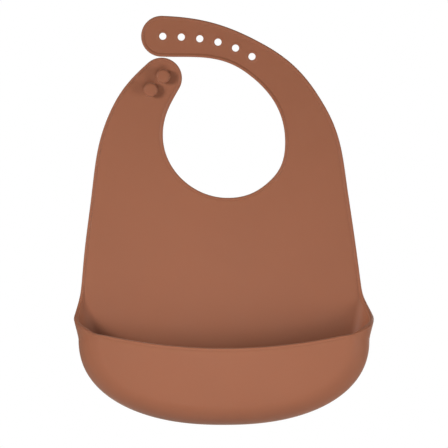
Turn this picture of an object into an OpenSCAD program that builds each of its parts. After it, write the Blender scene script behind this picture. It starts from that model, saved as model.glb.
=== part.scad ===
// Silicone bib with a crumb pocket and an adjustable two-stud neck strap.
// Worn pose: X across the chest, Z up, the front of the bib faces -Y.
// The origin is the centre of the neck opening, halfway through the sheet.
// The bib is one moulding. Its sub-parts are the regions between its flex lines.

/* [Neck opening] */
// Width of the neck opening
neck_w = 89.6; // [75:0.2:110]
// Depth of the neck opening below its centre
neck_drop = 46.8; // [40:0.2:60]
// Sideways lean of the lowest point of the neck opening
neck_lean = 2.7; // [0:0.1:5]

/* [Chest sheet] */
// Thickness of the silicone sheet
sheet_t = 2; // [1.6:0.1:2.6]
// Width of the left band beside the neck opening, at shoulder height
left_shoulder_w = 38.3; // [32:0.5:46]
// Width of the right band beside the neck opening, at shoulder height
right_shoulder_w = 29.4; // [26:0.5:36]
// Reach of the left edge beyond the neck opening, at chest height
left_chest_w = 52.7; // [46:0.5:60]
// Reach of the right edge beyond the neck opening, at chest height
right_chest_w = 46.4; // [40:0.5:54]
// Reach of the left edge beyond the neck opening, just above the pocket
left_hip_w = 58.4; // [52:0.5:61]
// Reach of the right edge beyond the neck opening, just above the pocket
right_hip_w = 53.7; // [47:0.5:61]
// Depth of the fold line below the neck opening
waist_drop = 24; // [16:1:34]

/* [Edge bead] */
// Width of the raised bead along every free edge
bead_w = 2.4; // [1.6:0.1:3.2]
// Height of the bead above the front of the sheet
bead_rise = 0.8; // [0.3:0.1:1.2]

/* [Straps] */
// Width of both straps at their round tips
strap_w = 30; // [24:0.5:36]
// Width of the hole strap at its crest
crest_w = 24.5; // [18:0.5:30]
// Distance of both strap tips from the centre line
tip_reach = 45.8; // [40:0.2:52]
// Height of the stud strap's tip centre
stud_tip_z = 41; // [34:0.2:48]
// Gap between the two strap tips
tip_gap = 0.7; // [0.5:0.1:2]
// Gap left for each flex line
flex_gap = 1.8; // [1.6:0.1:2.4]

/* [Fastening] */
// Distance between neighbouring holes, and between the two studs
pitch = 13.6; // [12:0.1:17]
// Distance of the first hole from the centre of the strap's round tip
hole_start = 0.9; // [0:0.1:3]
// Number of holes on each half of the hole strap
holes_per_half = 3; // [2:1:3]
// Diameter of each hole
hole_d = 5.2; // [4.8:0.1:7]
// Width of the collar round each hole
collar_w = 1.9; // [1.2:0.1:2.4]
// Height of the collar above each face of the sheet
collar_rise = 0.25; // [0.1:0.05:0.5]
// Clearance between a stud's stem and a hole, in diameter
stem_clearance = 0.4; // [0.1:0.1:1]
// How much wider a stud's head is than a hole
head_extra = 5.2; // [3:0.1:6]
// Thickness of a stud's head
head_t = 3; // [2:0.1:4]

/* [Pocket] */
// Drop of the pocket's bottom below the origin
bib_drop = 213; // [190:0.5:250]
// Reach of the pocket's sides beyond the neck opening
pocket_reach = 61.6; // [58:0.2:70]
// Height of the pocket's front at the middle
pocket_h = 55.4; // [48:0.2:70]
// Height from the bottom to the widest line of the pocket
belly_h = 62; // [52:0.5:66]
// Rise of the lip from its middle to its corners
lip_rise = 10.4; // [6:0.2:14]
// Height of the ears above the corners of the lip
ear_rise = 51; // [44:1:60]
// Outward flare of the ears
ear_flare = 3.6; // [1:0.1:6]
// Depth of the pocket's front at the bottom
pocket_depth = 26; // [20:0.5:36]
// Forward lean of the front for each millimetre of height
front_lean = 0.2; // [0:0.01:0.35]
// Forward bow of the front at the middle
front_bow = 7; // [0:0.5:10]
// Radius of the pocket's rounded margin
margin_r = 14; // [11:0.5:18]
// Height of the front's flex line above the bottom
front_fold_h = 27.5; // [25:0.5:34]

/* [Hidden] */

CLAY = [0.62, 0.41, 0.31];
CLAY_LIGHT = [0.68, 0.46, 0.35];

neck_r = neck_w / 2;
tip_r = strap_w / 2;
stud_tip = [-tip_reach, stud_tip_z];
hole_tip = [-tip_reach, stud_tip_z + strap_w + tip_gap];
waist_z = -neck_drop - waist_drop;

// Levels of the pocket's wall, halfway through it, from the bottom up
bottom_z = -bib_drop + sheet_t / 2;
belly_z = bottom_z + belly_h;
lip_z = bottom_z + pocket_h;
corner_z = lip_z + lip_rise;
hip_z = corner_z + ear_rise;
gusset_z = corner_z + 33;
fold_z = bottom_z + front_fold_h;

// Reach of the pocket's sides, of the tips of the ears and of the flat front
EAR_POWER = 3; // how sharply the ears rise forward
ear_z = hip_z - (hip_z - corner_z) * pow(0.5, 1 / EAR_POWER);
side_x = neck_r + pocket_reach - sheet_t / 2;
ear_x = side_x + ear_flare;
plate_x = side_x - margin_r;

// Headings of the side edges just above the pocket, away from the vertical
left_taper = 5;
right_taper = 7.5;

// Heading of the hole strap at its tip, and the place and heading of its crest
tip_turn = -2;
crest = [22.9, 55.3];
crest_turn = -33;

// Heading of the line through both studs, and how far back from the tip centre it sits
STUD_TURN = 47;
STUD_BACK = 5;
// Distance of the crest's flex line from the last hole
CREST_CLEAR = 15;
// Point and heading of the stud strap's flex line at its root
left_root = [[-neck_r - 18.2, 10], 75];

// ---- Plane curves. A knot is [x, z, heading]; knots join by smooth cubics.

HANDLE = 0.38; // handle length as a share of the chord
STEPS = 10; // steps along each span between two knots

function aim(h) = [cos(h), sin(h)];
function left_of(h) = [-sin(h), cos(h)];
function handles(a, b) = let(c = HANDLE * norm([b[0] - a[0], b[1] - a[1]]))
    [[a[0], a[1]], [a[0], a[1]] + c * aim(a[2]), [b[0], b[1]] - c * aim(b[2]), [b[0], b[1]]];
function cubic(p, t) =
    pow(1 - t, 3) * p[0] + 3 * pow(1 - t, 2) * t * p[1] + 3 * (1 - t) * t * t * p[2] + pow(t, 3) * p[3];
function cubic_aim(p, t) =
    pow(1 - t, 2) * (p[1] - p[0]) + 2 * (1 - t) * t * (p[2] - p[1]) + t * t * (p[3] - p[2]);
// A chain of knots, moved to the left of its direction by inset
function chain(knots, inset, steps = STEPS) = [
    for (k = [0:len(knots) - 2]) for (i = [0:steps])
        if (i < steps || k == len(knots) - 2)
            let(p = handles(knots[k], knots[k + 1]), v = cubic_aim(p, i / steps))
                cubic(p, i / steps) + inset * [-v[1], v[0]] / norm(v)
];
// An arc round c from angle a to angle b, its ends left out
function arc(c, r, a, b, n = 16) = [for (i = [1:n - 1]) c + r * aim(a + (b - a) * i / n)];

crest_side = crest_w / 2 * left_of(crest_turn);
crest_out = crest + crest_side;
crest_in = crest - crest_side;
tip_side = tip_r * left_of(tip_turn);
tip_out = hole_tip + tip_side;
tip_in = hole_tip - tip_side;

// Lower right of the neck opening, as shares of its half width and its drop
LOW_CORNER = [0.765, -0.72];

// Headings at which the stud strap's edges leave its round tip
STUD_IN = 60;
STUD_OUT = 222;

neck_knots = [
    [tip_in[0], tip_in[1], tip_turn],
    [crest_in[0], crest_in[1], crest_turn - 3],
    [neck_r, -6, -90],
    [LOW_CORNER[0] * neck_r, LOW_CORNER[1] * neck_drop, -136],
    [neck_lean, -neck_drop, -180],
    [-neck_r, -1, -270],
    [stud_tip[0] + tip_r * sin(STUD_IN), stud_tip[1] - tip_r * cos(STUD_IN), -360 + STUD_IN]
];
left_knots = [
    [stud_tip[0] + tip_r * sin(STUD_OUT), stud_tip[1] - tip_r * cos(STUD_OUT), STUD_OUT],
    [-neck_r - left_shoulder_w, 17.2, 245],
    [-neck_r - left_chest_w, -47.3, 263],
    [-neck_r - left_hip_w, hip_z, 270 - left_taper],
    [-rim_x(-1, gusset_z), gusset_z, 270 - left_taper]
];
right_knots = [
    [rim_x(1, gusset_z), gusset_z, 90 + right_taper],
    [neck_r + right_hip_w, hip_z, 90 + right_taper],
    [neck_r + right_chest_w, -44.4, 98.5],
    [neck_r + right_shoulder_w, 20, 120],
    [crest_out[0], crest_out[1], 180 + crest_turn + 4],
    [tip_out[0], tip_out[1], 180 + tip_turn]
];

// Middle line of the hole strap, from its tip to its root on the right shoulder
middle_knots = [
    [hole_tip[0], hole_tip[1], tip_turn], [crest[0], crest[1], crest_turn], [neck_r + 19.2, 2, -82]
];
middle_line = chain(middle_knots, 0, 40);
middle_run = [
    for (i = 0, s = 0; i < len(middle_line); i = i + 1,
         s = s + (i < len(middle_line) ? norm(middle_line[i] - middle_line[i - 1]) : 0)) s
];
function along(s) = [
    for (k = [0, 1]) lookup(s, [for (i = [0:len(middle_line) - 1]) [middle_run[i], middle_line[i][k]]])
];
// A flex line across the hole strap, facing its tip
function fold_along(s) =
    let(v = along(s - 0.5) - along(s + 0.5)) [along(s), (atan2(v[1], v[0]) + 360) % 360];
hole_fold = fold_along(hole_start + (holes_per_half - 0.5) * pitch);
crest_fold = fold_along(hole_start + (2 * holes_per_half - 1) * pitch + CREST_CLEAR);
right_root = fold_along(middle_run[len(middle_run) - 1] - 0.5);
function hole_at(k) = along(hole_start + k * pitch);

// The whole free edge of the flat part, from the right hip round to the left hip
function free_edge(inset) = concat(
    chain(right_knots, inset), arc(hole_tip, tip_r - inset, 90 + tip_turn, 270 + tip_turn),
    chain(neck_knots, inset), arc(stud_tip, tip_r - inset, STUD_IN - 90, STUD_OUT - 90),
    chain(left_knots, inset)
);
function backwards(list) = [for (i = [len(list) - 1:-1:0]) list[i]];

// ---- The pocket's surface: station u runs from the left ear (-1) round the bottom
// (0) to the right ear (1). A line goes from the rim (w = 0), down the front and
// round the margin to the chest sheet (w = 1).

SQUARENESS = 2.26; // exponent of the superellipse of the pocket's outline
BELLY_U = 0.72; // station at which the outline turns into the upright sides

function smooth(t) = let(c = min(1, max(0, t))) c * c * (3 - 2 * c);
function hip_x(side) = neck_r + (side < 0 ? left_hip_w : right_hip_w);
function taper(side) = side < 0 ? left_taper : right_taper;
// Reach of the rim seen from the front, down to the tip of the ear
function rim_x(side, z) =
    let(run = tan(taper(side)), flare = ear_x - hip_x(side) - run * (hip_z - ear_z))
        hip_x(side) + run * (hip_z - z) + flare * smooth(2 * (hip_z - z) / (hip_z - ear_z) - 1);
// Reach of the pocket's side between the belly and the ear
function belly_x(z) = side_x + ear_flare * pow(max(0, (z - belly_z) / (ear_z - belly_z)), 1.15);
// Turn of the section where the rim cuts it: 180 on the front, 0 on the sheet
function rim_turn(z) = 180 * pow(min(1, max(0, (hip_z - z) / (hip_z - corner_z))), EAR_POWER);
function lip_at(x) = lip_z + lip_rise * pow(min(1, abs(x) / plate_x), 2);
function depth(x, z) =
    pocket_depth + front_lean * (z - bottom_z) + front_bow * (1 - pow(min(1, abs(x) / plate_x), 2));

function upright(u) = abs(u) > BELLY_U;
function level(u) = belly_z + (gusset_z - belly_z) * (abs(u) - BELLY_U) / (1 - BELLY_U);
function power(v, p) = sign(v) * pow(abs(v), p);
function sweep_angle(u) = 270 + 90 * u / BELLY_U;
function outline(u) =
    let(a = sweep_angle(u))
        [side_x * power(cos(a), 2 / SQUARENESS), belly_z + belly_h * power(sin(a), 2 / SQUARENESS)];
function outward(u) =
    upright(u) ? [sign(u), 0] :
    let(
        p = outline(u),
        g = [power(p[0] / side_x, SQUARENESS - 1) / side_x,
             power((p[1] - belly_z) / belly_h, SQUARENESS - 1) / belly_h]
    ) g / norm(g);
// Foot of the margin on the sheet, which is also where it meets the front
function foot(u) =
    upright(u) ?
        let(z = level(u), x = z > ear_z ? rim_x(sign(u), z) - margin_r * sin(rim_turn(z))
                                        : belly_x(z) - margin_r)
            [sign(u) * x, z] :
    outline(u) - margin_r * outward(u);
function top_turn(u) = upright(u) ? rim_turn(level(u)) : 180;
function margin_point(u, a) =
    let(
        f = foot(u), n = outward(u), d = depth(f[0], f[1]), out = margin_r * sin(a),
        slope = [-2 * front_bow * f[0] / pow(plate_x, 2), front_lean] * n,
        p = f + out * n
    ) [p[0], -d / 2 * (1 - cos(a)) - slope * out * pow(sin(a / 2), 2), p[1]];
function margin_run(u) =
    let(d = depth(foot(u)[0], foot(u)[1])) PI * sqrt((pow(margin_r, 2) + d * d / 4) / 2);
// top is the height at which the line starts on the front
function pocket_point(u, top, w) =
    let(
        f = foot(u), plate = max(0, top - f[1]),
        margin = margin_run(u) * top_turn(u) / 180, s = w * (plate + margin)
    ) s < plate ? [f[0], -depth(f[0], top - s), top - s]
                : margin_point(u, top_turn(u) * (1 - (s - plate) / margin));

// ---- The front's flex line, and the slanted cuts from its ends up to the lip
FOLD_U = 0.4 * BELLY_U;
CORNER_U = 0.79 * BELLY_U;
fold_x = foot(FOLD_U)[0];
corner_x = foot(CORNER_U)[0];
function cut_share(x) = max(0, (abs(x) - fold_x) / (corner_x - fold_x));
function cut_at(x) = fold_z + cut_share(x) * (lip_at(x) - fold_z);
function top_at(u) = abs(u) < CORNER_U ? cut_at(foot(u)[0]) - flex_gap : lip_at(foot(u)[0]);

function unit(v) = v / norm(v);
TINY = 0.002; // step of the differences that give a normal
// Normal that points out of the pocket
function pocket_normal(u, top, w) =
    let(
        du = pocket_point(min(1, u + TINY), top, w) - pocket_point(max(-1, u - TINY), top, w),
        dw = pocket_point(u, top, min(1, w + TINY)) - pocket_point(u, top, max(0, w - TINY))
    ) unit(cross(dw, du));
function line_run(u, top) = max(0, top - foot(u)[1]) + margin_run(u) * top_turn(u) / 180;

// ---- Solids

function quad(a, b, c, d) = [[a, b, c], [a, c, d]];
// A closed wall over a grid of points, from so far out along the normals to so far in
module wall(points, normals, out, in) {
    n = len(points);
    m = len(points[0]);
    inner = n * m;
    outer_face = [for (i = [0:n - 2]) for (j = [0:m - 2])
        each quad(i * m + j, (i + 1) * m + j, (i + 1) * m + j + 1, i * m + j + 1)];
    inner_face = [for (f = outer_face) [f[2] + inner, f[1] + inner, f[0] + inner]];
    ends = concat(
        [for (i = [0:n - 2]) [i * m, (i + 1) * m]],
        [for (i = [0:n - 2]) [(i + 2) * m - 1, (i + 1) * m - 1]],
        [for (j = [0:m - 2]) [(n - 1) * m + j, (n - 1) * m + j + 1]],
        [for (j = [0:m - 2]) [j + 1, j]]
    );
    edge_faces = [for (e = ends) each quad(e[1], e[0], e[0] + inner, e[1] + inner)];
    polyhedron(
        [for (side = [out, -in]) for (i = [0:n - 1]) for (j = [0:m - 1])
            points[i][j] + side * normals[i][j]],
        concat(outer_face, inner_face, edge_faces)
    );
}

ROWS = 11; // rows of a pocket wall, from its top to the sheet
EAR_COLUMNS = 40; // columns of a gusset behind the front's corner
function spread(a, b, n) = [for (i = [0:n]) a + (b - a) * i / n];
PARTING = 0.4; // gap between the ears' bead and the wall, both of them twisted
// Part of the pocket over the stations us: its bead, or the wall below it
module pocket_part(us, bead) {
    rows = bead ? 1 : ROWS;
    lines = [for (u = us)
        let(
            top = top_at(u), share = bead_w / line_run(u, top),
            under_cut = abs(u) < CORNER_U,
            w0 = bead || under_cut ? 0 : share + PARTING / line_run(u, top), w1 = bead ? share : 1
        ) [for (j = [0:rows]) [u, top, w0 + (w1 - w0) * j / rows]]];
    wall(
        [for (line = lines) [for (q = line) pocket_point(q[0], q[1], q[2])]],
        [for (line = lines) [for (q = line) pocket_normal(q[0], q[1], q[2])]],
        sheet_t / 2, sheet_t / 2 + (bead ? bead_rise : 0)
    );
}
ear_stations = spread(CORNER_U, 1, EAR_COLUMNS);
gusset_stations = concat(spread(FOLD_U, CORNER_U - TINY, 10), ear_stations);

// Part of the swinging front between the shares a and b of its height
module front_part(a, b, rows, rise) {
    COLUMNS = 16;
    function place(g, f) =
        let(x = g * (fold_x + f * (corner_x - flex_gap - fold_x)))
            [x, fold_z + f * (lip_at(x) - fold_z)];
    places = [for (i = [0:COLUMNS])
        [for (j = [0:rows]) place(2 * i / COLUMNS - 1, b + (a - b) * j / rows)]];
    wall(
        [for (line = places) [for (p = line) [p[0], -depth(p[0], p[1]), p[1]]]],
        [for (line = places) [for (p = line)
            unit([2 * front_bow * p[0] / pow(plate_x, 2), -1, -front_lean])]],
        sheet_t / 2, sheet_t / 2 + rise
    );
}

FAR = 400; // reach of the plane regions that part the sheet
module beyond(fold)
    translate(fold[0]) rotate(fold[1]) translate([flex_gap / 2, -FAR]) square(2 * FAR);
module before(fold)
    translate(fold[0]) rotate(fold[1]) translate([-flex_gap / 2 - 2 * FAR, -FAR]) square(2 * FAR);
module above(z) translate([-FAR, z]) square(2 * FAR);
module below(z) translate([-FAR, z - 2 * FAR]) square(2 * FAR);
module left_of_x(x) translate([x - 2 * FAR, -FAR]) square(2 * FAR);
module right_of_x(x) translate([x, -FAR]) square(2 * FAR);

between_tips = stud_tip_z + tip_r + tip_gap / 2;
// Regions of the sheet, one for each part that stays flat
module chest_region() {
    intersection() {
        above(waist_z + flex_gap / 2);
        union() {
            intersection() { before(left_root); left_of_x(0); }
            intersection() { before(right_root); right_of_x(0); }
        }
    }
}
module strap_root_region() {
    intersection() { beyond(right_root); before(crest_fold); right_of_x(0); }
}
module strap_middle_region() {
    intersection() { beyond(crest_fold); before(hole_fold); above(0); }
}
module strap_end_region() {
    intersection() { beyond(hole_fold); above(between_tips); }
}
module stud_strap_region() {
    intersection() { beyond(left_root); below(between_tips); left_of_x(-neck_r / 2); }
}

FOOT_STEPS = 56; // steps of the pocket's foot line, from ear to ear
module sheet_outline()
    polygon(concat(free_edge(bead_w), [for (i = [0:FOOT_STEPS]) foot(2 * i / FOOT_STEPS - 1)]));
module bead_outline() polygon(concat(free_edge(0), backwards(free_edge(bead_w))));

// A plane shape made solid: the sheet, or the bead, which stands out in front
module solid_sheet()
    rotate([90, 0, 0]) translate([0, 0, -sheet_t / 2]) linear_extrude(sheet_t) children();
module solid_bead()
    rotate([90, 0, 0]) translate([0, 0, -sheet_t / 2]) linear_extrude(sheet_t + bead_rise) children();

collar_r = hole_d / 2 + collar_w;
module peg(r, t) rotate([90, 0, 0]) cylinder(r = r, h = t, center = true, $fn = 48);
module at_hole(k) translate([hole_at(k)[0], 0, hole_at(k)[1]]) children();
module hole_cuts(first)
    for (k = [first:first + holes_per_half - 1]) at_hole(k) peg(collar_r, 2 * sheet_t);
module collars(first) {
    t = sheet_t + 2 * collar_rise;
    for (k = [first:first + holes_per_half - 1])
        at_hole(k) difference() { peg(collar_r, t); peg(hole_d / 2, 2 * t); }
}

// A mushroom stud: a stem through the hole and a head that is pushed through it
module stud(side) {
    stem_r = (hole_d - stem_clearance) / 2;
    stem_l = sheet_t + 2 * collar_rise + 0.3;
    head_r = (hole_d + head_extra) / 2;
    ROUND = 1.2;
    place = stud_tip - STUD_BACK * aim(STUD_TURN) + side * pitch / 2 * aim(STUD_TURN);
    shoulder = [for (a = [0:15:90])
        [head_r - ROUND + ROUND * cos(a), stem_l + head_t - ROUND + ROUND * sin(a)]];
    translate([place[0], -sheet_t / 2, place[1]])
        rotate([90, 0, 0])
            rotate_extrude($fn = 48)
                polygon(concat(
                    [[0, 0], [stem_r + 0.6, 0], [stem_r, 0.6], [stem_r, stem_l]],
                    [[head_r - 0.5, stem_l], [head_r, stem_l + 0.5]], shoulder, [[0, stem_l + head_t]]
                ));
}

module chest_panel()
    color(CLAY) solid_sheet() intersection() { sheet_outline(); chest_region(); }
module neck_rim()
    color(CLAY_LIGHT) solid_bead() intersection() {
        bead_outline(); chest_region(); left_of_x(neck_r + 5); right_of_x(-neck_r - 5);
    }
module left_shoulder_rim()
    color(CLAY_LIGHT) solid_bead() intersection() {
        bead_outline(); chest_region(); left_of_x(-neck_r - 5);
    }
module right_shoulder_rim()
    color(CLAY_LIGHT) solid_bead() intersection() {
        bead_outline(); chest_region(); right_of_x(neck_r + 5);
    }
module lower_panel()
    color(CLAY) solid_sheet() intersection() { sheet_outline(); below(waist_z - flex_gap / 2); }
module left_side_rim()
    color(CLAY_LIGHT) solid_bead() intersection() {
        bead_outline(); below(waist_z - flex_gap / 2); above(gusset_z); left_of_x(0);
    }
module right_side_rim()
    color(CLAY_LIGHT) solid_bead() intersection() {
        bead_outline(); below(waist_z - flex_gap / 2); above(gusset_z); right_of_x(0);
    }
module pocket_floor() color(CLAY) pocket_part(spread(-FOLD_U, FOLD_U, 20), false);
module left_gusset() color(CLAY) pocket_part(-backwards(gusset_stations), false);
module right_gusset() color(CLAY) pocket_part(gusset_stations, false);
module left_ear_rim() color(CLAY_LIGHT) pocket_part(-backwards(ear_stations), true);
module right_ear_rim() color(CLAY_LIGHT) pocket_part(ear_stations, true);
module pocket_front() color(CLAY) front_part(0, 1 - bead_w / (lip_z - fold_z), 5, 0);
module pocket_lip() color(CLAY_LIGHT) front_part(1 - bead_w / (lip_z - fold_z), 1, 1, bead_rise);
module hole_strap_root()
    color(CLAY) solid_sheet() intersection() { sheet_outline(); strap_root_region(); }
module hole_strap_root_rims()
    color(CLAY_LIGHT) solid_bead() intersection() { bead_outline(); strap_root_region(); }
module hole_strap_middle() {
    color(CLAY) difference() {
        solid_sheet() intersection() { sheet_outline(); strap_middle_region(); }
        hole_cuts(holes_per_half);
    }
}
module hole_strap_middle_rims()
    color(CLAY_LIGHT) solid_bead() intersection() { bead_outline(); strap_middle_region(); }
module middle_hole_collars() color(CLAY_LIGHT) collars(holes_per_half);
module hole_strap_end() {
    color(CLAY) difference() {
        solid_sheet() intersection() { sheet_outline(); strap_end_region(); }
        hole_cuts(0);
    }
}
module hole_strap_end_rim()
    color(CLAY_LIGHT) solid_bead() intersection() { bead_outline(); strap_end_region(); }
module end_hole_collars() color(CLAY_LIGHT) collars(0);
module stud_strap()
    color(CLAY) solid_sheet() intersection() { sheet_outline(); stud_strap_region(); }
module stud_strap_rim()
    color(CLAY_LIGHT) solid_bead() intersection() { bead_outline(); stud_strap_region(); }
module upper_stud() color(CLAY_LIGHT) stud(1);
module lower_stud() color(CLAY_LIGHT) stud(-1);

chest_panel();
neck_rim();
left_shoulder_rim();
right_shoulder_rim();
lower_panel();
left_side_rim();
right_side_rim();
pocket_floor();
left_gusset();
right_gusset();
left_ear_rim();
right_ear_rim();
pocket_front();
pocket_lip();
hole_strap_root();
hole_strap_root_rims();
hole_strap_middle();
hole_strap_middle_rims();
middle_hole_collars();
hole_strap_end();
hole_strap_end_rim();
end_hole_collars();
stud_strap();
stud_strap_rim();
upper_stud();
lower_stud();
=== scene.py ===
import math

import bpy
import numpy as np
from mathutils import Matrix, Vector


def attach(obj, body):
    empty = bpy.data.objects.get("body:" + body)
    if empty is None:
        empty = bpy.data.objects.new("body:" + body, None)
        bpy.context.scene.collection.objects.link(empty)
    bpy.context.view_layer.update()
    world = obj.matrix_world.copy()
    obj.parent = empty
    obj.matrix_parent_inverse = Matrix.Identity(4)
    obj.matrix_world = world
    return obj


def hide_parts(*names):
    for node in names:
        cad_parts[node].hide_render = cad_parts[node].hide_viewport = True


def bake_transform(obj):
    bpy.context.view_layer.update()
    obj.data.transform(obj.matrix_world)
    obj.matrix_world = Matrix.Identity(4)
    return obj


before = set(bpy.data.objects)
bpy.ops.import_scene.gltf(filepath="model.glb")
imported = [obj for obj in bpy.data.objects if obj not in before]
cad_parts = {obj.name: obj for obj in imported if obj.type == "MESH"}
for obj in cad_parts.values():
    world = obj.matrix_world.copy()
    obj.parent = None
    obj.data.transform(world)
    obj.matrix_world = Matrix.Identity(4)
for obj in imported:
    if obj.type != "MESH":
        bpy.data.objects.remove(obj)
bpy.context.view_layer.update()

# ---- The moulding's silicone, which every piece is made of.
# One matte, faintly translucent clay-brown silicone. The mould leaves a very fine grain,
# and handling leaves slightly smoother patches. Shapes are worked out in millimetres.

MM = 0.001


def silicone(name, tone):
    """Matte silicone: its colour and its roughness are each clouded by a noise, and two more noises
    raise the surface, one for the mould's fine grain and one for its slow unevenness."""
    mat = bpy.data.materials.new(name)
    mat.use_nodes = True
    tree = mat.node_tree
    shader = tree.nodes["Principled BSDF"]
    place = tree.nodes.new("ShaderNodeTexCoord")

    def noise(scale, detail, rough=0.5):
        node = tree.nodes.new("ShaderNodeTexNoise")
        node.inputs["Scale"].default_value = scale
        node.inputs["Detail"].default_value = detail
        node.inputs["Roughness"].default_value = rough
        tree.links.new(place.outputs["Object"], node.inputs["Vector"])
        return node.outputs["Fac"]

    def spread(value, low, high):
        node = tree.nodes.new("ShaderNodeMapRange")
        node.inputs["From Min"].default_value = 0.3
        node.inputs["From Max"].default_value = 0.7
        node.inputs["To Min"].default_value = low
        node.inputs["To Max"].default_value = high
        tree.links.new(value, node.inputs["Value"])
        return node.outputs["Result"]

    clouds = tree.nodes.new("ShaderNodeMix")
    clouds.data_type = "RGBA"
    clouds.inputs["A"].default_value = (*(0.94 * np.array(tone)), 1)
    clouds.inputs["B"].default_value = (*(1.06 * np.array(tone)), 1)
    tree.links.new(noise(14, 3), clouds.inputs["Factor"])
    tree.links.new(clouds.outputs["Result"], shader.inputs["Base Color"])
    tree.links.new(spread(noise(30, 4), 0.50, 0.60), shader.inputs["Roughness"])
    shader.inputs["IOR"].default_value = 1.41
    shader.inputs["Specular IOR Level"].default_value = 0.25
    shader.inputs["Sheen Weight"].default_value = 0.22
    shader.inputs["Sheen Roughness"].default_value = 0.4
    shader.inputs["Sheen Tint"].default_value = (1.0, 0.85, 0.7, 1)
    shader.inputs["Subsurface Weight"].default_value = 0.12
    shader.inputs["Subsurface Radius"].default_value = (1.0, 0.35, 0.2)
    shader.inputs["Subsurface Scale"].default_value = 0.0015

    grain = tree.nodes.new("ShaderNodeBump")
    grain.inputs["Strength"].default_value = 0.25
    grain.inputs["Distance"].default_value = 0.00006
    tree.links.new(noise(2600, 2, 0.6), grain.inputs["Height"])
    flow = tree.nodes.new("ShaderNodeBump")
    flow.inputs["Strength"].default_value = 0.5
    flow.inputs["Distance"].default_value = 0.0004
    tree.links.new(noise(45, 2), flow.inputs["Height"])
    tree.links.new(grain.outputs["Normal"], flow.inputs["Normal"])
    tree.links.new(flow.outputs["Normal"], shader.inputs["Normal"])
    return mat


CLAY = silicone("clay silicone", (0.292, 0.107, 0.056))

# ---- The free edge of the flat part: its curves, shared by the sheet, straps and beads.
# Knots are (x, z, heading in degrees) in millimetres, the silicone always on the left.

NECK_R, NECK_DROP = 44.8, 46.8  # half the neck opening's width, and its lowest point
NECK_LEAN = 2.7  # how far to the right that point lies
TIP_R = 15.0  # round tips of both straps, about these centres
STUD_TIP = np.array([-45.8, 41.0])
HOLE_TIP = np.array([-45.8, 71.7])
STUD_IN_TURN, STUD_OUT_TURN = -30, 132  # where the stud strap's round tip starts and ends
CREST = np.array([22.9, 55.3])  # the hole strap's middle at its crest
TIP_TURN, CREST_TURN, CREST_W = -2.0, -33.0, 24.5  # its headings at tip and crest, its width there
ROOT = (NECK_R + 19.2, 2, -82)  # its middle and heading at the shoulder
RIGHT_HIP_X, LEFT_HIP_X = 98.5, 103.2
RIGHT_TAPER, LEFT_TAPER = 7.5, 5  # degrees that the sides lean at the hips
BOTTOM_Z, BELLY_Z, LIP_Z, CORNER_Z, HIP_Z = -212.0, -150.0, -156.6, -146.2, -95.2
PITCH = 13.6  # from hole to hole and from stud to stud
HANDLE = 0.38  # handles of the curves, as a share of their chords


def aim(heading):
    """Unit vector, or one for each heading, at that many degrees from +X towards +Z."""
    h = np.radians(heading)
    return np.stack([np.cos(h), np.sin(h)], -1)


def chain(knots, n=80):
    """Cubic curves from knot to knot, with handles of a fixed share of the chord along the headings."""
    parts = []
    t = np.linspace(0, 1, n)[:, None]
    for a, b in zip(knots[:-1], knots[1:]):
        p, q = np.array(a[:2], float), np.array(b[:2], float)
        c = HANDLE * np.linalg.norm(q - p)
        r, s = p + c * aim(a[2]), q - c * aim(b[2])
        parts.append((1 - t) ** 3 * p + 3 * (1 - t) ** 2 * t * r + 3 * (1 - t) * t * t * s + t**3 * q)
    return np.concatenate(parts)


def arc(centre, start, end, n=60):
    """Points at equal angles on the round tip of a strap."""
    return centre + TIP_R * aim(np.linspace(start, end, n))


def evenly(path, step):
    """The same path with points at equal distances, by interpolation along its length."""
    path = path[np.concatenate([[True], np.linalg.norm(np.diff(path, axis=0), axis=1) > 1e-6])]
    run = np.concatenate([[0], np.cumsum(np.linalg.norm(np.diff(path, axis=0), axis=1))])
    s = np.linspace(0, run[-1], int(round(run[-1] / step)) + 1)
    return np.stack([np.interp(s, run, path[:, k]) for k in range(path.shape[1])], 1)


def inwards(path):
    """Unit normal on the left of the direction of travel, from differences of neighbours."""
    d = np.gradient(path, axis=0)
    d /= np.linalg.norm(d, axis=1)[:, None]
    return np.stack([-d[:, 1], d[:, 0]], 1)


crest_out, crest_in = [CREST + CREST_W / 2 * aim(CREST_TURN + side) for side in (90, -90)]
tip_out, tip_in = [HOLE_TIP + TIP_R * aim(TIP_TURN + side) for side in (90, -90)]
low_corner = (0.765 * NECK_R, -0.72 * NECK_DROP)  # where the opening turns sharply, low on the right
stud_in, stud_out = STUD_TIP + TIP_R * aim(STUD_IN_TURN), STUD_TIP + TIP_R * aim(STUD_OUT_TURN)
STEP = 0.25  # from point to point along the edge
edge = evenly(np.concatenate([
    chain([(RIGHT_HIP_X, HIP_Z, 90 + RIGHT_TAPER), (91.2, -44.4, 98.5), (74.2, 20, 120),
           (*crest_out, 151), (*tip_out, 180 + TIP_TURN)]),
    arc(HOLE_TIP, 90 + TIP_TURN, 270 + TIP_TURN),
    chain([(*tip_in, TIP_TURN), (*crest_in, CREST_TURN - 3), (NECK_R, -6, -90), (*low_corner, -136),
           (NECK_LEAN, -NECK_DROP, -180), (-NECK_R, -1, -270), (*stud_in, STUD_IN_TURN - 270)]),
    arc(STUD_TIP, STUD_IN_TURN, STUD_OUT_TURN),
    chain([(*stud_out, STUD_OUT_TURN + 90), (-83.1, 17.2, 245), (-97.5, -47.3, 263),
           (-LEFT_HIP_X, HIP_Z, 270 - LEFT_TAPER)]),
]), STEP)
edge_in = inwards(edge)
HIDE = 1.2  # the sheet's own edge ends this far inside the bead
inset = edge + HIDE * edge_in

# The middle line of the hole strap, from the centre of its round tip to its root, and the
# holes' places on it
middle = evenly(chain([(*HOLE_TIP, TIP_TURN), (*CREST, CREST_TURN), ROOT]), STEP)
HOLE_START = 0.9
HOLES = HOLE_START + PITCH * np.arange(6)


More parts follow.
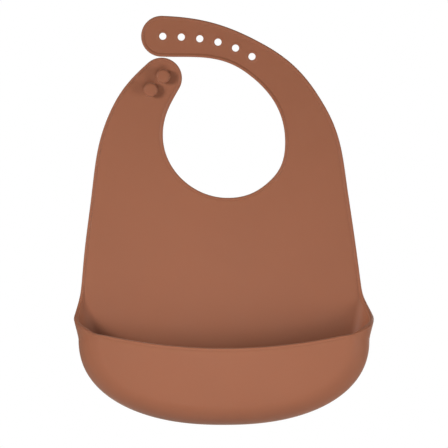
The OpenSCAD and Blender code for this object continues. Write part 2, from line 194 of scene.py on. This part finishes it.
def along(s):
    """Point s millimetres along the hole strap's middle from the tip's centre, straight on beyond it."""
    s = np.asarray(s, float)
    k = np.arange(len(middle)) * np.linalg.norm(middle[1] - middle[0])
    inside = np.stack([np.interp(s, k, middle[:, i]) for i in (0, 1)], -1)
    return inside + np.minimum(s, 0)[..., None] * aim(TIP_TURN)


def across(s):
    """Unit vector across the hole strap there, towards its outer edge."""
    d = along(np.asarray(s, float) + 0.5) - along(np.asarray(s, float) - 0.5)
    d /= np.linalg.norm(d, axis=-1)[..., None]
    return np.stack([-d[..., 1], d[..., 0]], -1)


def cuts(point, heading):
    """Positions on the edge, counted in its points, where a ray from point at a heading crosses it."""
    d, rel = aim(heading), edge - point
    side, ahead = d[0] * rel[:, 1] - d[1] * rel[:, 0], rel @ d
    k = np.nonzero((side[:-1] * side[1:] <= 0) & (ahead[:-1] > 0))[0]
    return k + side[k] / (side[k] - side[k + 1])


def reach(origins, rays, curve):
    """Distance along each ray to its first crossing with a curve, solved for every segment at once."""
    o, d = origins[:, None], rays[:, None]
    a, b = curve[None, :-1], np.diff(curve, axis=0)[None]
    q = a - o
    with np.errstate(divide="ignore", invalid="ignore"):
        det = d[..., 0] * b[..., 1] - d[..., 1] * b[..., 0]
        t = (q[..., 0] * b[..., 1] - q[..., 1] * b[..., 0]) / det
        s = (q[..., 0] * d[..., 1] - q[..., 1] * d[..., 0]) / det
        t = np.where((s >= -1e-9) & (s <= 1 + 1e-9) & (t > 0), t, np.inf)
    return t.min(1)


# Seams between pieces, each in the middle of a part that stays flat: two as headings from the
# neck's centre, two as distances along the hole strap
RIGHT_SEAM, LEFT_SEAM = -12.0, 185.0
ROOT_SEAM, CREST_SEAM = 112.0, (HOLES[4] + HOLES[5]) / 2
neck_cut_r, outer_cut_r = sorted(cuts(np.zeros(2), RIGHT_SEAM), reverse=True)[:2]
left_cuts = sorted(cuts(np.zeros(2), LEFT_SEAM))
neck_cut_l, outer_cut_l = left_cuts[0], left_cuts[-1]


def strap_cuts(s):
    """Where the hole strap's section at s meets its outer and inner edge, as positions on the edge."""
    p, n = along(s), across(s)
    h = math.degrees(math.atan2(n[1], n[0]))
    return [min((c for c in cuts(p, t)), key=lambda c: abs(np.linalg.norm(edge[int(c)] - p)))
            for t in (h, h + 180)]


root_out, root_in = strap_cuts(ROOT_SEAM)
crest_out_cut, crest_in_cut = strap_cuts(CREST_SEAM)


def stretch(path, start, end, step=1.0):
    """The part of a path between two positions on it, with points about a step apart."""
    n = max(2, int(round((end - start) * STEP / step)) + 1)
    k = np.linspace(start, end, n)
    return np.stack([np.interp(k, np.arange(len(path)), path[:, i]) for i in range(path.shape[1])], 1)


def lie(points):
    """Plane points (x, z) stood up in space, in the sheet's middle plane."""
    return np.stack([points[..., 0], np.zeros(points.shape[:-1]), points[..., 1]], -1)


def relaxed(p):
    """The sheet's slight waviness: a product of slow sines in x and z, and one slanting sine, move
    every piece alike in y."""
    x, z = p[..., 0], p[..., 2]
    wave = 0.55 * np.sin(x / 34 + 0.7) * np.sin(z / 41 + 0.4) + 0.3 * np.sin(z / 27 - x / 60)
    q = p.copy()
    q[..., 1] += wave
    return q


SHARP_ANGLE = math.radians(40)
HALF_SHEET = 1.0  # half the sheet's thickness


def piece(name, verts, faces):
    """A closed mesh in metres from vertices in millimetres. Faces come as arrays of equal rows."""
    verts = relaxed(np.asarray(verts, float)) * MM
    mesh = bpy.data.meshes.new(name)
    sizes = np.concatenate([np.full(len(f), f.shape[1]) for f in faces if len(f)])
    loops = np.concatenate([f.ravel() for f in faces if len(f)])
    mesh.vertices.add(len(verts))
    mesh.vertices.foreach_set("co", verts.ravel().astype(np.float32))
    mesh.loops.add(len(loops))
    mesh.loops.foreach_set("vertex_index", loops.astype(np.int32))
    mesh.polygons.add(len(sizes))
    starts = np.concatenate([[0], np.cumsum(sizes)[:-1]])
    mesh.polygons.foreach_set("loop_start", starts.astype(np.int32))
    mesh.polygons.foreach_set("loop_total", sizes.astype(np.int32))
    mesh.update(calc_edges=True)
    mesh.validate()
    mesh.shade_smooth()
    mesh.set_sharp_from_angle(angle=SHARP_ANGLE)
    mesh.materials.append(CLAY)
    obj = bpy.data.objects.new(name, mesh)
    bpy.context.scene.collection.objects.link(obj)
    return obj


def slab(middle_points, normals, half, keep=None):
    """Vertices and faces of a closed wall: the grid moved half a thickness both ways along its
    normals, with walls wherever a kept cell borders an edge or a cell left out. Cells run
    anticlockwise seen from the side the normals point to."""
    n, m = middle_points.shape[:2]
    keep = np.ones((n - 1, m - 1), bool) if keep is None else keep
    verts = np.concatenate([(middle_points + half * normals).reshape(-1, 3),
                            (middle_points - half * normals).reshape(-1, 3)])
    k = np.arange(n * m).reshape(n, m)
    a, b, c, d = k[:-1, :-1], k[1:, :-1], k[1:, 1:], k[:-1, 1:]
    top = np.stack([a, b, c, d], -1)[keep]
    faces = [top, top[:, ::-1] + n * m]
    wide = np.pad(keep, 1)
    for (p, q), shift in (((a, b), (1, 0)), ((b, c), (2, 1)), ((c, d), (1, 2)), ((d, a), (0, 1))):
        lone = keep & ~wide[shift[0]:shift[0] + n - 1, shift[1]:shift[1] + m - 1]
        faces.append(np.stack([q[lone], p[lone], p[lone] + n * m, q[lone] + n * m], -1))
    return verts, faces


def flat_piece(name, grid, keep=None):
    """A plane grid of points (x, z) as a 2 mm sheet."""
    p = lie(grid)
    normals = np.zeros_like(p)
    cell = np.cross(p[1, 0] - p[0, 0], p[0, 1] - p[0, 0])
    normals[..., 1] = np.sign(cell[1])
    verts, faces = slab(p, normals, HALF_SHEET, keep)
    return piece(name, verts, faces)


# ---- Chest and lower sheet.
# One flat 2 mm sheet round the neck opening, down to the foot of the pocket. Its rim is hidden
# in the beads, and below the hips it runs into the pocket.

PLATE_X, SIDE_X, EAR_X = 91.4, 105.4, 109.0  # half widths: flat between the margins, belly, ears
MARGIN_R = 14.0  # how far the margin, the turn from sheet to front, stands out
EAR_POWER = 3  # how late the rim turns forward on its way down from the hip
EAR_Z = HIP_Z - (HIP_Z - CORNER_Z) * 0.5 ** (1 / EAR_POWER)
EAR_SOFT = 7.0  # height over which the ears' tips are rounded
BELLY_H = BELLY_Z - BOTTOM_Z
BELLY_U = 0.72  # stations run from -1 at the left hip to 1 at the right, and the sides start here
BELLY_POWER = 1.15  # how the sides swell from belly to ear
SQUARENESS = 2.26  # power of the superellipse
STRIP = 6.0  # how far the pocket piece runs on into the flat sheet
STATION_COUNT = 381
SHEET_RAYS, SHEET_ROWS = 430, 72  # rays from the neck's centre, and points along each
SPARE = 20  # points of the edge kept beyond a seam, so that rays near it still meet the line


def power(v, p):
    """v to the power p with its sign kept."""
    return np.sign(v) * np.abs(v) ** p


def level(u):
    """Height of the section at station u on the upright sides, straight from the belly up to the hip."""
    return BELLY_Z + (HIP_Z - BELLY_Z) * (np.abs(u) - BELLY_U) / (1 - BELLY_U)


def rim_turn(z):
    """Angle round the margin at which the rim cuts it: a power of the drop from the hip, 0 at the hip
    and pi at the corner."""
    return np.pi * np.clip((HIP_Z - z) / (HIP_Z - CORNER_Z), 0, 1) ** EAR_POWER


def rim_x(side, z):
    """Reach of the rim from hip to ear: the side's straight taper plus a smooth flare."""
    hip = np.where(side < 0, LEFT_HIP_X, RIGHT_HIP_X)
    run = np.tan(np.radians(np.where(side < 0, LEFT_TAPER, RIGHT_TAPER)))
    flare = EAR_X - hip - run * (HIP_Z - EAR_Z)
    t = np.clip(2 * (HIP_Z - z) / (HIP_Z - EAR_Z) - 1, 0, 1)
    return hip + run * (HIP_Z - z) + flare * t * t * (3 - 2 * t)


def outline(u):
    """The pocket's outer line below the belly: a superellipse."""
    a = np.radians(270 + 90 * np.clip(u, -BELLY_U, BELLY_U) / BELLY_U)
    return np.stack([SIDE_X * power(np.cos(a), 2 / SQUARENESS),
                     BELLY_Z + BELLY_H * power(np.sin(a), 2 / SQUARENESS)], -1)


def outward(u):
    """Unit normal of the pocket's outline, level on the upright sides."""
    p = outline(u)
    g = np.stack([power(p[..., 0] / SIDE_X, SQUARENESS - 1) / SIDE_X,
                  power((p[..., 1] - BELLY_Z) / BELLY_H, SQUARENESS - 1) / BELLY_H], -1)
    g /= np.linalg.norm(g, axis=-1)[..., None]
    sides = np.stack([np.sign(u), np.zeros_like(u)], -1)
    return np.where((np.abs(u) > BELLY_U)[..., None], sides, g)


def side_foot(side, z):
    """Reach of the margin's foot on the upright sides: in from the rim above the ear, by the sine of
    the rim's turn, and in from the belly below it."""
    swell = np.clip((z - BELLY_Z) / (EAR_Z - BELLY_Z), 0, 1) ** BELLY_POWER
    belly = SIDE_X + (EAR_X - SIDE_X) * swell
    return np.where(z > EAR_Z, rim_x(side, z) - MARGIN_R * np.sin(rim_turn(z)), belly - MARGIN_R)


def foot(u):
    """Foot of the margin on the sheet: the outline moved in by the margin's radius, with the ears'
    tips rounded by averaging over a few millimetres of height."""
    z, side = level(u), np.sign(u)
    plain_x = side_foot(side, z)
    shifts = np.linspace(-4.5, 4.5, 7)
    soft_x = sum(side_foot(side, z + d) for d in shifts) / len(shifts)
    x = plain_x + (soft_x - plain_x) * np.exp(-((z - EAR_Z) / EAR_SOFT) ** 4)
    upright = np.stack([side * x, z], -1)
    return np.where((np.abs(u) > BELLY_U)[..., None], upright, outline(u) - MARGIN_R * outward(u))


# Stations of the pocket, spaced evenly along the line of its foot
dense = np.linspace(-1, 1, 6001)
foot_steps = np.diff(foot(dense) + MARGIN_R * outward(dense), axis=0)
foot_run = np.concatenate([[0], np.cumsum(np.linalg.norm(foot_steps, axis=1))])
STATIONS = np.interp(np.linspace(0, foot_run[-1], STATION_COUNT), foot_run, dense)
pocket_edge = foot(STATIONS) - STRIP * outward(STATIONS)
sheet_line = np.concatenate([inset[int(outer_cut_l) - SPARE:], pocket_edge,
                             inset[:int(outer_cut_r) + SPARE]])
hips = np.array([inset[-1], pocket_edge[0], pocket_edge[-1], inset[0]])
corner_angles = np.degrees(np.arctan2(hips[:, 1], hips[:, 0]))
turns = np.concatenate([np.linspace(LEFT_SEAM - 360, RIGHT_SEAM, SHEET_RAYS), corner_angles])
turns = np.unique(np.round(turns, 6))
rays = aim(turns)
near = reach(np.zeros((len(turns), 2)), rays, inset[int(neck_cut_r) - SPARE:int(neck_cut_l) + SPARE])
far = reach(np.zeros((len(turns), 2)), rays, sheet_line)
share = np.linspace(0, 1, SHEET_ROWS)[None, :, None]
lengths = near[:, None, None] * (1 - share) + far[:, None, None] * share
sheet = flat_piece("chest_and_lower_sheet", rays[:, None] * lengths)
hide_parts("chest_panel", "lower_panel")
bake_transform(sheet)

# ---- Beads of the neck and the sides.
# A rounded band that stands 0.8 mm out in front along every free edge, flush at the back.

BEAD_STEP = 0.8  # from section to section along a bead

# Bead section: distance in from the edge, and height in front of the sheet's middle
BEAD = np.array([
    (2.9, -0.70), (2.45, -1.04), (0.75, -1.04), (0.33, -0.94), (0.08, -0.68), (0.0, -0.30),
    (0.0, 0.30), (0.02, 0.85), (0.12, 1.28), (0.36, 1.60), (0.72, 1.77), (1.12, 1.80), (1.5, 1.74),
    (1.85, 1.54), (2.15, 1.29), (2.5, 1.08), (2.95, 0.90),
])


def sweep(path, inner, front, section=BEAD):
    """Vertices and faces of a section carried along a path, its first axis along inner and its second
    along front."""
    n, m = len(path), len(section)
    verts = path[:, None] + section[None, :, :1] * inner[:, None] + section[None, :, 1:] * front[:, None]
    i, j = np.meshgrid(np.arange(n - 1), np.arange(m), indexing="ij")
    k = (j + 1) % m
    sides = np.stack([i * m + j, i * m + k, (i + 1) * m + k, (i + 1) * m + j], -1).reshape(-1, 4)
    caps = np.stack([np.arange(m)[::-1], (n - 1) * m + np.arange(m)])
    flip = np.dot(np.cross(front[0], inner[0]), path[1] - path[0]) < 0
    if flip:
        sides, caps = sides[:, ::-1], caps[:, ::-1]
    return verts.reshape(-1, 3), [sides, caps]


def joined(*solids):
    """Several closed solids as one list of vertices and faces."""
    verts, faces, k = [], [], 0
    for v, f in solids:
        verts.append(v)
        faces += [g + k for g in f]
        k += len(v)
    return np.concatenate(verts), faces


def edge_bead(start, end):
    """The bead between two positions on the free edge."""
    p, n = stretch(edge, start, end, BEAD_STEP), stretch(edge_in, start, end, BEAD_STEP)
    n /= np.linalg.norm(n, axis=1)[:, None]
    return sweep(lie(p), lie(n), np.tile([0.0, -1.0, 0.0], (len(p), 1)))


neck_bead = piece("neck_bead", *edge_bead(neck_cut_r, neck_cut_l))
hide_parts("neck_rim")
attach(neck_bead, "chest")

left_bead = piece("left_side_bead", *edge_bead(outer_cut_l, len(edge) - 1))
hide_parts("left_shoulder_rim", "left_side_rim")
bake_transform(left_bead)

right_bead = piece("right_side_bead", *edge_bead(0, outer_cut_r))
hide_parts("right_shoulder_rim", "right_side_rim")
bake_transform(right_bead)

# ---- The crumb pocket.
# The sheet turns forward round a soft margin and comes up again as the pocket's front. The
# sides rise to two ears that run back to the hips. Its wall is the same 2 mm silicone.

POCKET_DEPTH, LEAN, BOW, LIP_RISE = 26.0, 0.2, 7.0, 10.4
CORNER_SOFT = 0.07  # stations to each side of a corner over which the rim is eased


def lip_at(x):
    """Height of the lip: a parabola from its middle to its corners."""
    return LIP_Z + LIP_RISE * np.minimum(1, np.abs(x) / PLATE_X) ** 2


def depth(x, z):
    """Depth of the front: it leans forward with height, and bows forward as a parabola in x."""
    bow = BOW * (1 - np.minimum(1, np.abs(x) / PLATE_X) ** 2)
    return POCKET_DEPTH + LEAN * (z - BOTTOM_Z) + bow


def margin_run(u):
    """Length of the section's turn from sheet to front, a half ellipse."""
    d = depth(*foot(u).T)
    return np.pi * np.sqrt((MARGIN_R**2 + d * d / 4) / 2)


def section_length(u):
    """Length of the section from its foot to the rim, averaged over its neighbours by a bell curve
    near the corners."""
    f = foot(u)
    turn = np.where(np.abs(u) > BELLY_U, rim_turn(level(u)), np.pi)
    run = margin_run(u) * turn / np.pi + np.maximum(0, lip_at(f[:, 0]) - f[:, 1])
    far_out = 9
    bell = np.exp(-(np.arange(-far_out, far_out + 1) / 4.0) ** 2 / 2)
    soft = np.convolve(np.pad(run, far_out, "edge"), bell / bell.sum(), "valid")
    corner = np.exp(-((np.abs(u) - BELLY_U) / CORNER_SOFT) ** 4)
    return run + corner * (soft - run)


def pocket_at(u, run):
    """Points at distances run from the foot: in along the flat sheet where negative, round the half
    ellipse of the margin, then up the front."""
    f, n = foot(u)[:, None], outward(u)[:, None]
    d, m = depth(*foot(u).T)[:, None], margin_run(u)[:, None]
    a = np.pi * np.clip(run / m, 0, 1)
    out = MARGIN_R * np.sin(a)
    slope = -2 * BOW * f[..., 0] / PLATE_X**2 * n[..., 0] + LEAN * n[..., 1]
    p = f + (out + np.minimum(run, 0))[..., None] * n
    rise = np.maximum(0, run - m)
    y = -d / 2 * (1 - np.cos(a)) - slope * out * np.sin(a / 2) ** 2 - LEAN * rise
    return np.stack([p[..., 0], y, p[..., 1] + rise], -1)


def grid_normals(p):
    """Unit normals of a grid of points, from the cross product of its two gradients."""
    n = np.cross(np.gradient(p, axis=0), np.gradient(p, axis=1))
    return n / np.linalg.norm(n, axis=-1)[..., None]


length = section_length(STATIONS)
LINES = 88  # from the rim down the front, round the margin and into the sheet
ratio = np.linspace(0, 1, LINES)[None]
wall = pocket_at(STATIONS, (length - HIDE)[:, None] * (1 - ratio) - STRIP * ratio)
pocket = piece("crumb_pocket", *slab(wall, grid_normals(wall), HALF_SHEET))
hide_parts("pocket_floor", "left_gusset", "right_gusset", "pocket_front")
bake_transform(pocket)

# ---- The pocket's bead.
# One line from hip to hip along the ears and the lip, which carries on the side beads. It
# stands out towards the inside of the pocket, as they do.

BEAD_W = 2.4


def eased(path, width=3.6, far=12):
    """The path with each point averaged over its neighbours by a bell curve, its ends kept."""
    bell = np.exp(-(np.arange(-far, far + 1) / width) ** 2 / 2)
    bell /= bell.sum()
    long = np.concatenate([2 * path[:1] - path[far:0:-1], path, 2 * path[-1:] - path[-2:-far - 2:-1]])
    return np.stack([np.convolve(long[:, i], bell, "valid") for i in range(path.shape[1])], 1)


rim = pocket_at(STATIONS, length[:, None])[:, 0]
below_rim = pocket_at(STATIONS, (length - BEAD_W)[:, None])[:, 0]
rim_run = np.concatenate([[0], np.cumsum(np.linalg.norm(np.diff(rim, axis=0), axis=1))])
even = np.linspace(0, rim_run[-1], int(rim_run[-1]))
both = np.concatenate([rim, below_rim - rim], 1)
both = eased(np.stack([np.interp(even, rim_run, both[:, i]) for i in range(6)], 1))
rim, rim_in = both[:, :3], both[:, 3:]
rim_aim = np.gradient(rim, axis=0)
rim_aim /= np.linalg.norm(rim_aim, axis=1)[:, None]
rim_in = rim_in - (rim_in * rim_aim).sum(1)[:, None] * rim_aim
rim_in /= np.linalg.norm(rim_in, axis=1)[:, None]
rim_front = np.cross(rim_in, rim_aim)
rim_front *= -np.sign(rim_front[0, 1])
pocket_bead = piece("pocket_bead", *sweep(rim, rim_in, rim_front))
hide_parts("left_ear_rim", "right_ear_rim", "pocket_lip")
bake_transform(pocket_bead)

# ---- The hole strap.
# The long strap that curves over from the right shoulder, in three pieces: its root, the crest
# with the last hole, and the end with the other five.

SEAM_SKIP = 8  # points of the hidden edge left out next to a seam
ROOT_ROWS, ROW_STEP = 60, 1.1  # rows across the root, and from row to row on the holed strips


def seam_ends(point, heading_out, heading_in):
    """Where a seam through point meets the sheet's hidden edge, each way."""
    return [point + reach(point[None], aim(h)[None], inset)[0] * aim(h)
            for h in (heading_out, heading_in)]


def ruled(name, outer, inner, columns=26):
    """Sheet between two lines of equal numbers of points, straight across."""
    share = np.linspace(0, 1, columns)[None, :, None]
    return flat_piece(name, outer[:, None] * (1 - share) + inner[:, None] * share)


def hidden_edge(first, start, end, last, n):
    """n points of the sheet's hidden edge between two positions, tied to the ends of the seams there."""
    a, b = sorted((start, end))
    line = inset[int(a) + SEAM_SKIP:int(b) - SEAM_SKIP + 1]
    line = np.concatenate([[first], line if start < end else line[::-1], [last]])
    run = np.concatenate([[0], np.cumsum(np.linalg.norm(np.diff(line, axis=0), axis=1))])
    s = np.linspace(0, run[-1], n)
    return np.stack([np.interp(s, run, line[:, k]) for k in (0, 1)], 1)


shoulder_in, shoulder_out = rays[-1] * near[-1], rays[-1] * far[-1]
root_heading = math.degrees(math.atan2(*across(ROOT_SEAM)[::-1]))
end_out, end_in = seam_ends(along(ROOT_SEAM), root_heading, root_heading + 180)
strap_root = ruled("strap_root_sheet",
                   hidden_edge(shoulder_out, outer_cut_r, root_out, end_out, ROOT_ROWS),
                   hidden_edge(shoulder_in, neck_cut_r, root_in, end_in, ROOT_ROWS))
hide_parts("hole_strap_root")
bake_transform(strap_root)

root_beads = piece("strap_root_beads",
                   *joined(edge_bead(outer_cut_r, root_out), edge_bead(root_in, neck_cut_r)))
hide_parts("hole_strap_root_rims")
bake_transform(root_beads)

WELL = 3.0  # half the side of the square gap that a collar fills
WELL_ROOM = 11.0  # where the strap is narrower than this to one side, the gap shrinks with it
SIDE_LINES, WELL_LINES = 9, 5  # lines along the strap, beside the gaps and across them


def holed_strip(name, start, end, holes):
    """Strap from s = start to s = end with a square gap left out round each hole."""
    marks = np.concatenate([[start, end]] + [[h - WELL, h + WELL] for h in holes])
    marks = np.unique(np.round(marks, 6))
    s = np.unique(np.concatenate([np.linspace(a, b, max(2, math.ceil((b - a) / ROW_STEP) + 1))
                                  for a, b in zip(marks[:-1], marks[1:])]))
    p, n = along(s), across(s)
    out, back = reach(p, n, inset), reach(p, -n, inset)
    well = WELL * np.minimum(1, np.minimum(out, back) / WELL_ROOM)
    beside = np.linspace(0, 1, SIDE_LINES)[None]
    v = np.concatenate([-back[:, None] + (back - well)[:, None] * beside,
                        well[:, None] * np.linspace(-1, 1, WELL_LINES)[None, 1:-1],
                        well[:, None] + (out - well)[:, None] * beside], 1)
    keep = np.ones((len(s) - 1, v.shape[1] - 1), bool)
    mid = (s[1:] + s[:-1]) / 2
    for h in holes:
        keep[np.abs(mid - h) < WELL, SIDE_LINES - 1:SIDE_LINES + WELL_LINES - 2] = False
    return flat_piece(name, p[:, None] + v[..., None] * n[:, None], keep)


def lathe(profile, centre, turns=64, closed=True):
    """Vertices and faces of a profile (radius, height in front of the sheet's middle) turned about a
    line along -Y through a plane point. An open profile starts and ends on the axis."""
    a = np.linspace(0, 2 * np.pi, turns, endpoint=False)
    ring = profile if closed else profile[1:-1]
    m = len(ring)
    x = centre[0] + ring[None, :, 0] * np.cos(a)[:, None]
    z = centre[1] + ring[None, :, 0] * np.sin(a)[:, None]
    y = np.broadcast_to(-ring[None, :, 1], x.shape)
    verts = np.stack([x, y, z], -1).reshape(-1, 3)
    i, j = np.meshgrid(np.arange(turns), np.arange(m if closed else m - 1), indexing="ij")
    i2, j2 = (i + 1) % turns, (j + 1) % m
    quads = np.stack([i * m + j, i2 * m + j, i2 * m + j2, i * m + j2], -1).reshape(-1, 4)
    if closed:
        return verts, [quads]
    poles = [[centre[0], -profile[0, 1], centre[1]], [centre[0], -profile[-1, 1], centre[1]]]
    k = np.arange(turns)
    after = (k + 1) % turns
    low = np.stack([np.full(turns, turns * m), after * m, k * m], -1)
    high = np.stack([np.full(turns, turns * m + 1), k * m + m - 1, after * m + m - 1], -1)
    return np.concatenate([verts, poles]), [quads, low, high]


# Collar section, from the hole's wall out to the sheet, the same on both faces
half_collar = np.array([(2.6, 0.0), (2.6, 0.8), (2.64, 1.02), (2.75, 1.18), (2.95, 1.25), (3.5, 1.25),
                        (3.9, 1.22), (4.25, 1.12), (4.6, 1.0), (4.9, 0.85)])
COLLAR = np.concatenate([half_collar, (half_collar * [1, -1])[:0:-1]])

strap_middle = holed_strip("strap_crest_sheet", CREST_SEAM, ROOT_SEAM, HOLES[5:])
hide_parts("hole_strap_middle")
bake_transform(strap_middle)

middle_beads = piece("strap_crest_beads",
                     *joined(edge_bead(root_out, crest_out_cut), edge_bead(crest_in_cut, root_in)))
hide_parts("hole_strap_middle_rims")
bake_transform(middle_beads)

last_collar = piece("collar_of_the_last_hole", *lathe(COLLAR, along(HOLES[5])))
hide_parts("middle_hole_collars")
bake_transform(last_collar)

TIP_START = -TIP_R + HIDE + 0.2  # just inside the hidden edge at the very tip
strap_end = holed_strip("strap_end_sheet", TIP_START, CREST_SEAM, HOLES[:5])
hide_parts("hole_strap_end")
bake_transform(strap_end)

end_bead = piece("strap_end_bead", *edge_bead(crest_out_cut, crest_in_cut))
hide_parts("hole_strap_end_rim")
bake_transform(end_bead)

end_collars = piece("collars_of_the_first_five_holes",
                    *joined(*[lathe(COLLAR, along(h)) for h in HOLES[:5]]))
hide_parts("end_hole_collars", "middle_hole_collars")
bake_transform(end_collars)

# ---- The stud strap.
# The short strap on the left shoulder, with two mushroom studs moulded onto its front.

STUD_STRAP_TURN = 60  # heading of the strap at its tip
APEX_SKIP, STUD_ROWS = 9, 90  # points of the edge from tip to last row each way, rows in all
STUD_INSET, STUD_ROW_TURN = 5, 47  # the pair's middle, in from the tip's centre along the pair's line

tip_part = edge[int(neck_cut_l):int(outer_cut_l)]
apex = int(neck_cut_l) + np.argmax((tip_part - STUD_TIP) @ aim(STUD_STRAP_TURN))
stud_strap = ruled("stud_strap_sheet",
                   hidden_edge(rays[0] * far[0], outer_cut_l, apex, inset[apex + APEX_SKIP], STUD_ROWS),
                   hidden_edge(rays[0] * near[0], neck_cut_l, apex, inset[apex - APEX_SKIP], STUD_ROWS))
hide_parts("stud_strap")
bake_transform(stud_strap)

stud_bead = piece("stud_strap_bead", *edge_bead(neck_cut_l, outer_cut_l))
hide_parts("stud_strap_rim")
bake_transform(stud_bead)

# Stud section: the foot's fillet, the stem, the flare under the head and its round shoulder
STUD = np.array([
    (0.0, 0.5), (4.2, 0.8), (3.5, 1.04), (2.95, 1.28), (2.55, 1.6), (2.4, 2.1), (2.4, 3.4), (2.6, 3.7),
    (4.3, 3.85), (4.85, 3.98), (5.1, 4.25), (5.2, 4.7), (5.16, 5.2), (4.98, 5.75), (4.65, 6.2),
    (4.2, 6.52), (3.6, 6.7), (2.4, 6.78), (1.0, 6.8), (0.0, 6.8),
])
pair = STUD_TIP - STUD_INSET * aim(STUD_ROW_TURN)
for name, node, side in (("upper_mushroom_stud", "upper_stud", 1),
                         ("lower_mushroom_stud", "lower_stud", -1)):
    stud = piece(name, *lathe(STUD, pair + side * PITCH / 2 * aim(STUD_ROW_TURN), closed=False))
    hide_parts(node)
    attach(stud, "stud_side")

# ---- Floor, light and camera.
# A round pale floor below the bib and a white room that the camera sees but that lights only
# weakly. Four soft lights: a key from the left, one from the right, one low in front and one behind.

# In metres: the floor's radius, thickness and height, and where the lights aim
FLOOR_R, FLOOR_T, FLOOR_Z = 0.36, 0.01, -0.262
MIDDLE = (0, 0, -0.08)


def plain(name, colour, rough):
    """A matte paint of one colour."""
    mat = bpy.data.materials.new(name)
    mat.use_nodes = True
    mat.node_tree.nodes["Principled BSDF"].inputs["Base Color"].default_value = (*colour, 1)
    mat.node_tree.nodes["Principled BSDF"].inputs["Roughness"].default_value = rough
    return mat


bpy.ops.mesh.primitive_cylinder_add(radius=FLOOR_R, depth=FLOOR_T, vertices=128, location=(0, 0, FLOOR_Z))
floor = bpy.context.object
floor.name = "floor"
floor.data.materials.append(plain("pale floor", (0.8, 0.8, 0.8), 0.8))

world = bpy.data.worlds.new("studio")
bpy.context.scene.world = world
world.use_nodes = True
nodes, links = world.node_tree.nodes, world.node_tree.links
room = nodes["Background"]
room.inputs["Color"].default_value = (1, 1, 1, 1)
room.inputs["Strength"].default_value = 0.08
white = nodes.new("ShaderNodeBackground")
white.inputs["Color"].default_value = (1, 1, 1, 1)
white.inputs["Strength"].default_value = 1.0
seen = nodes.new("ShaderNodeLightPath")
either = nodes.new("ShaderNodeMixShader")
links.new(seen.outputs["Is Camera Ray"], either.inputs[0])
links.new(room.outputs[0], either.inputs[1])
links.new(white.outputs[0], either.inputs[2])
links.new(either.outputs[0], nodes["World Output"].inputs["Surface"])


def lamp(name, place, size, watts):
    """A square soft light aimed at the middle of the bib."""
    data = bpy.data.lights.new(name, "AREA")
    data.shape, data.size, data.energy = "SQUARE", size, watts
    obj = bpy.data.objects.new(name, data)
    obj.location = place
    obj.rotation_euler = (Vector(MIDDLE) - Vector(place)).to_track_quat("-Z", "Y").to_euler()
    bpy.context.scene.collection.objects.link(obj)
    return obj


lamp("key_light", (-0.9, -0.75, 0.2), 0.3, 10)
lamp("side_light", (1.1, -0.5, -0.2), 0.5, 8)
low = lamp("low_light", (0, -0.32, -0.25), 0.3, 1.1)
low.visible_camera = False
lamp("back_light", (0.6, 1.3, 0.3), 0.8, 14)

camera = bpy.data.objects.new("camera", bpy.data.cameras.new("camera"))
bpy.context.scene.collection.objects.link(camera)
DISTANCE, WIDTH, EYE_Z, SENSOR = 6.0, 0.3286, -0.066, 36  # WIDTH is what the picture spans
camera.location = (0, -DISTANCE, EYE_Z)
camera.rotation_euler = (math.pi / 2, 0, 0)
camera.data.sensor_width = SENSOR
camera.data.lens = SENSOR * DISTANCE / WIDTH
camera.data.clip_start, camera.data.clip_end = 0.1, 20
bpy.context.scene.camera = camera
bpy.context.scene.view_settings.view_transform = "Standard"
